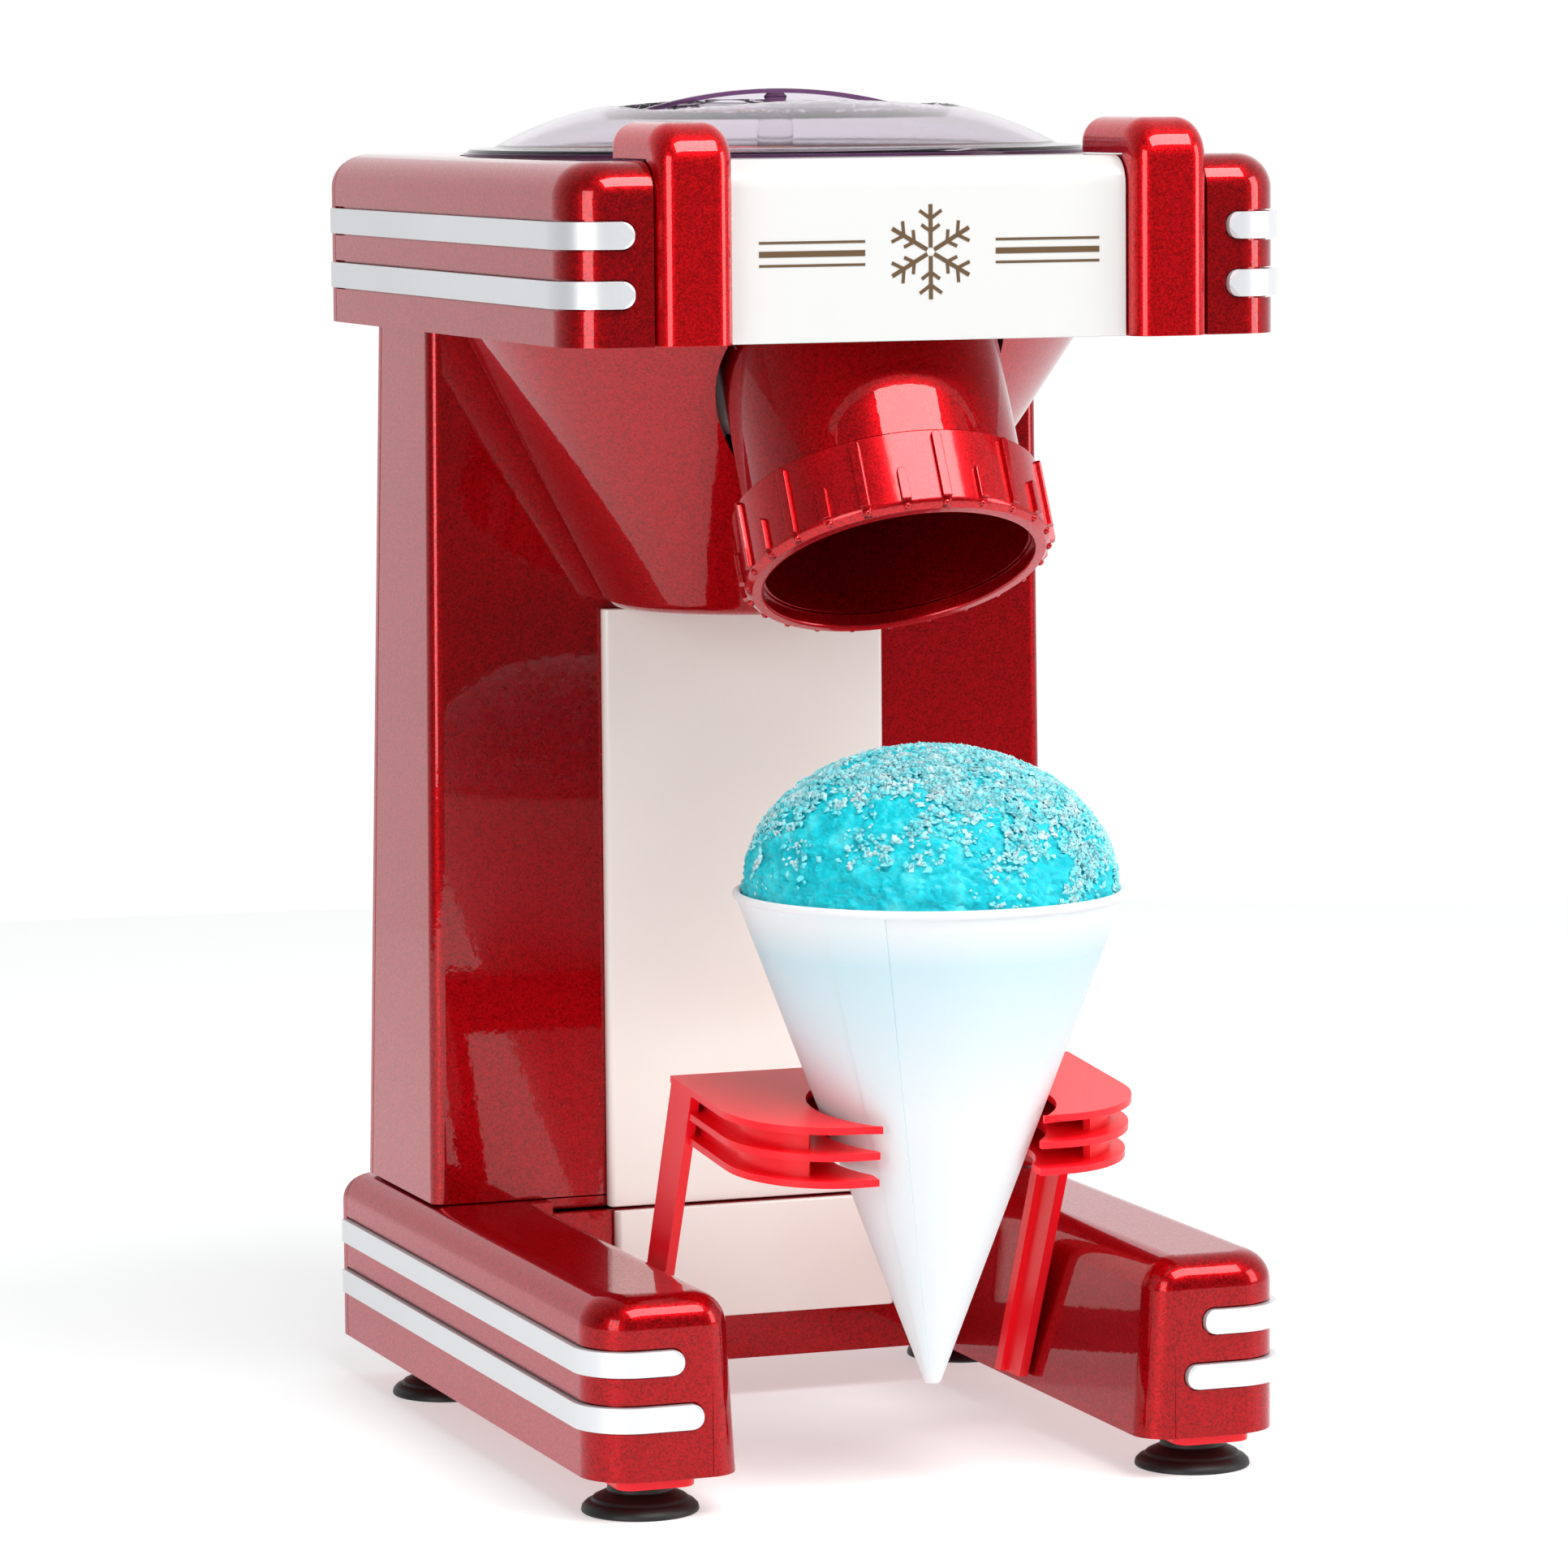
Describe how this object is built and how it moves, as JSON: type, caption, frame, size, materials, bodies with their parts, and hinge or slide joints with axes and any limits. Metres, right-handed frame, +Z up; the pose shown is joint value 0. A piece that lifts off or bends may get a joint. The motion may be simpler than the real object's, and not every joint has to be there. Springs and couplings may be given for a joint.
{
  "type": "shaved ice machine",
  "caption": "Countertop shaved ice machine: hopper under a clear lid, spinning cutter disc, slanting chute with a ribbed collar, and a holder with a paper cone of ice between two legs.",
  "frame": {"origin": "middle of the whole box's underside, on the surface that the four feet stand on", "axes": "+Z up, -Y is the front where the chute and the cone are, +X is to the right seen from the front"},
  "size_m": [0.1844, 0.2486, 0.3367],
  "materials": {
    "red_paint": "metallic candy red paint under clear gloss",
    "cream_plastic": "cream, semi-gloss",
    "silver_trim": "satin silver",
    "black_rubber": "matte black",
    "clear_red": "translucent bright red",
    "clear_lid": "clear plastic with a faint violet tint",
    "white_paper": "white waxed paper",
    "blue_ice": "blue syrup on shaved ice, granular and wet",
    "steel": "bright",
    "white_nylon": "natural nylon",
    "bronze": "sintered",
    "black_plastic": "matte black"
  },
  "bodies": {
    "machine": {"back_panel": "cream_plastic", "base_bottom_plate": "clear_red", "base_rear_cover": "red_paint", "base_screw_left": "steel", "base_screw_right": "steel", "base_shell": "red_paint", "base_strip_lower_left": "silver_trim", "base_strip_lower_right": "silver_trim", "base_strip_upper_left": "silver_trim", "base_strip_upper_right": "silver_trim", "chute_barrel": "red_paint", "column_rear_cover": "red_paint", "column_screw_1": "steel", "column_screw_2": "steel", "column_screw_3": "steel", "column_screw_4": "steel", "column_shell": "red_paint", "cord_inlet_grommet": "black_rubber", "front_panel": "cream_plastic", "gear_plate": "steel", "head_floor": "red_paint", "head_rear_cover": "red_paint", "head_shell": "red_paint", "head_strip_lower_left": "silver_trim", "head_strip_lower_right": "silver_trim", "head_strip_upper_left": "silver_trim", "head_strip_upper_right": "silver_trim", "hopper_bowl": "red_paint", "ice_chamber": "cream_plastic", "idler_pin": "steel", "interlock_switch": "black_plastic", "lower_panel": "cream_plastic", "motor_body": "steel", "motor_housing": "red_paint", "pillar_left": "red_paint", "pillar_right": "red_paint", "press_spring_1": "steel", "press_spring_2": "steel", "press_spring_3": "steel", "shaft_bush": "bronze", "suction_foot_front_left": "black_rubber", "suction_foot_front_right": "black_rubber", "suction_foot_rear_left": "black_rubber", "suction_foot_rear_right": "black_rubber"},
    "press": {"press_ring": "black_plastic"},
    "plunger": {"switch_plunger": "white_nylon"},
    "lid": {"lid_dome": "clear_lid", "ice_pusher": "clear_lid"},
    "cutter": {"cutter_disc": "steel", "blade_1": "steel", "blade_2": "steel", "cutter_shaft": "steel", "cutter_gear": "white_nylon"},
    "idler": {"idler_gear": "white_nylon"},
    "rotor": {"motor_pinion": "steel", "motor_shaft": "steel"},
    "collar": {"chute_collar": "red_paint"},
    "holder": {"cone_holder": "clear_red"},
    "cone": {"cone_cup": "white_paper", "shaved_ice": "blue_ice"}
  },
  "joints": [
    {"name": "press_down", "type": "slide", "parent": "machine", "child": "press", "axis": [0, 0, -1], "range_m": [0, 0.0027], "stiffness_N_per_m": 700, "springref_m": -0.004, "deforming": ["press_spring_1", "press_spring_2", "press_spring_3"]},
    {"name": "plunger_in", "type": "slide", "parent": "machine", "child": "plunger", "axis": [0, 0, -1], "range_m": [0, 0.0027]},
    {"name": "lid_lift", "type": "slide", "parent": "press", "child": "lid", "axis": [0, 0, 1], "range_m": [0, 0.06]},
    {"name": "motor_spin", "type": "hinge", "parent": "machine", "child": "rotor", "pos_m": [0, 0.0794, 0.2437], "axis": [0, 0, 1], "continuous": true},
    {"name": "idler_spin", "type": "hinge", "parent": "machine", "child": "idler", "pos_m": [0, 0.06315, 0.2437], "axis": [0, 0, 1], "continuous": true},
    {"name": "cutter_spin", "type": "hinge", "parent": "machine", "child": "cutter", "pos_m": [0, 0.02805, 0.2835], "axis": [0, 0, 1], "continuous": true},
    {"name": "collar_twist", "type": "hinge", "parent": "machine", "child": "collar", "pos_m": [0, -0.05755, 0.2215], "axis": [0, -0.4741, -0.8805], "range_deg": [0, 30]},
    {"name": "holder_slide", "type": "slide", "parent": "machine", "child": "holder", "axis": [0, -1, 0], "range_m": [0, 0.12]},
    {"name": "cone_lift", "type": "slide", "parent": "holder", "child": "cone", "axis": [0, 0, 1], "range_m": [0, 0.035]}
  ],
  "couplings": [
    {"joint": "plunger_in", "follows": "press_down", "ratio": 1},
    {"joint": "idler_spin", "follows": "cutter_spin", "ratio": -2.8571},
    {"joint": "motor_spin", "follows": "cutter_spin", "ratio": 3.6364}
  ]
}
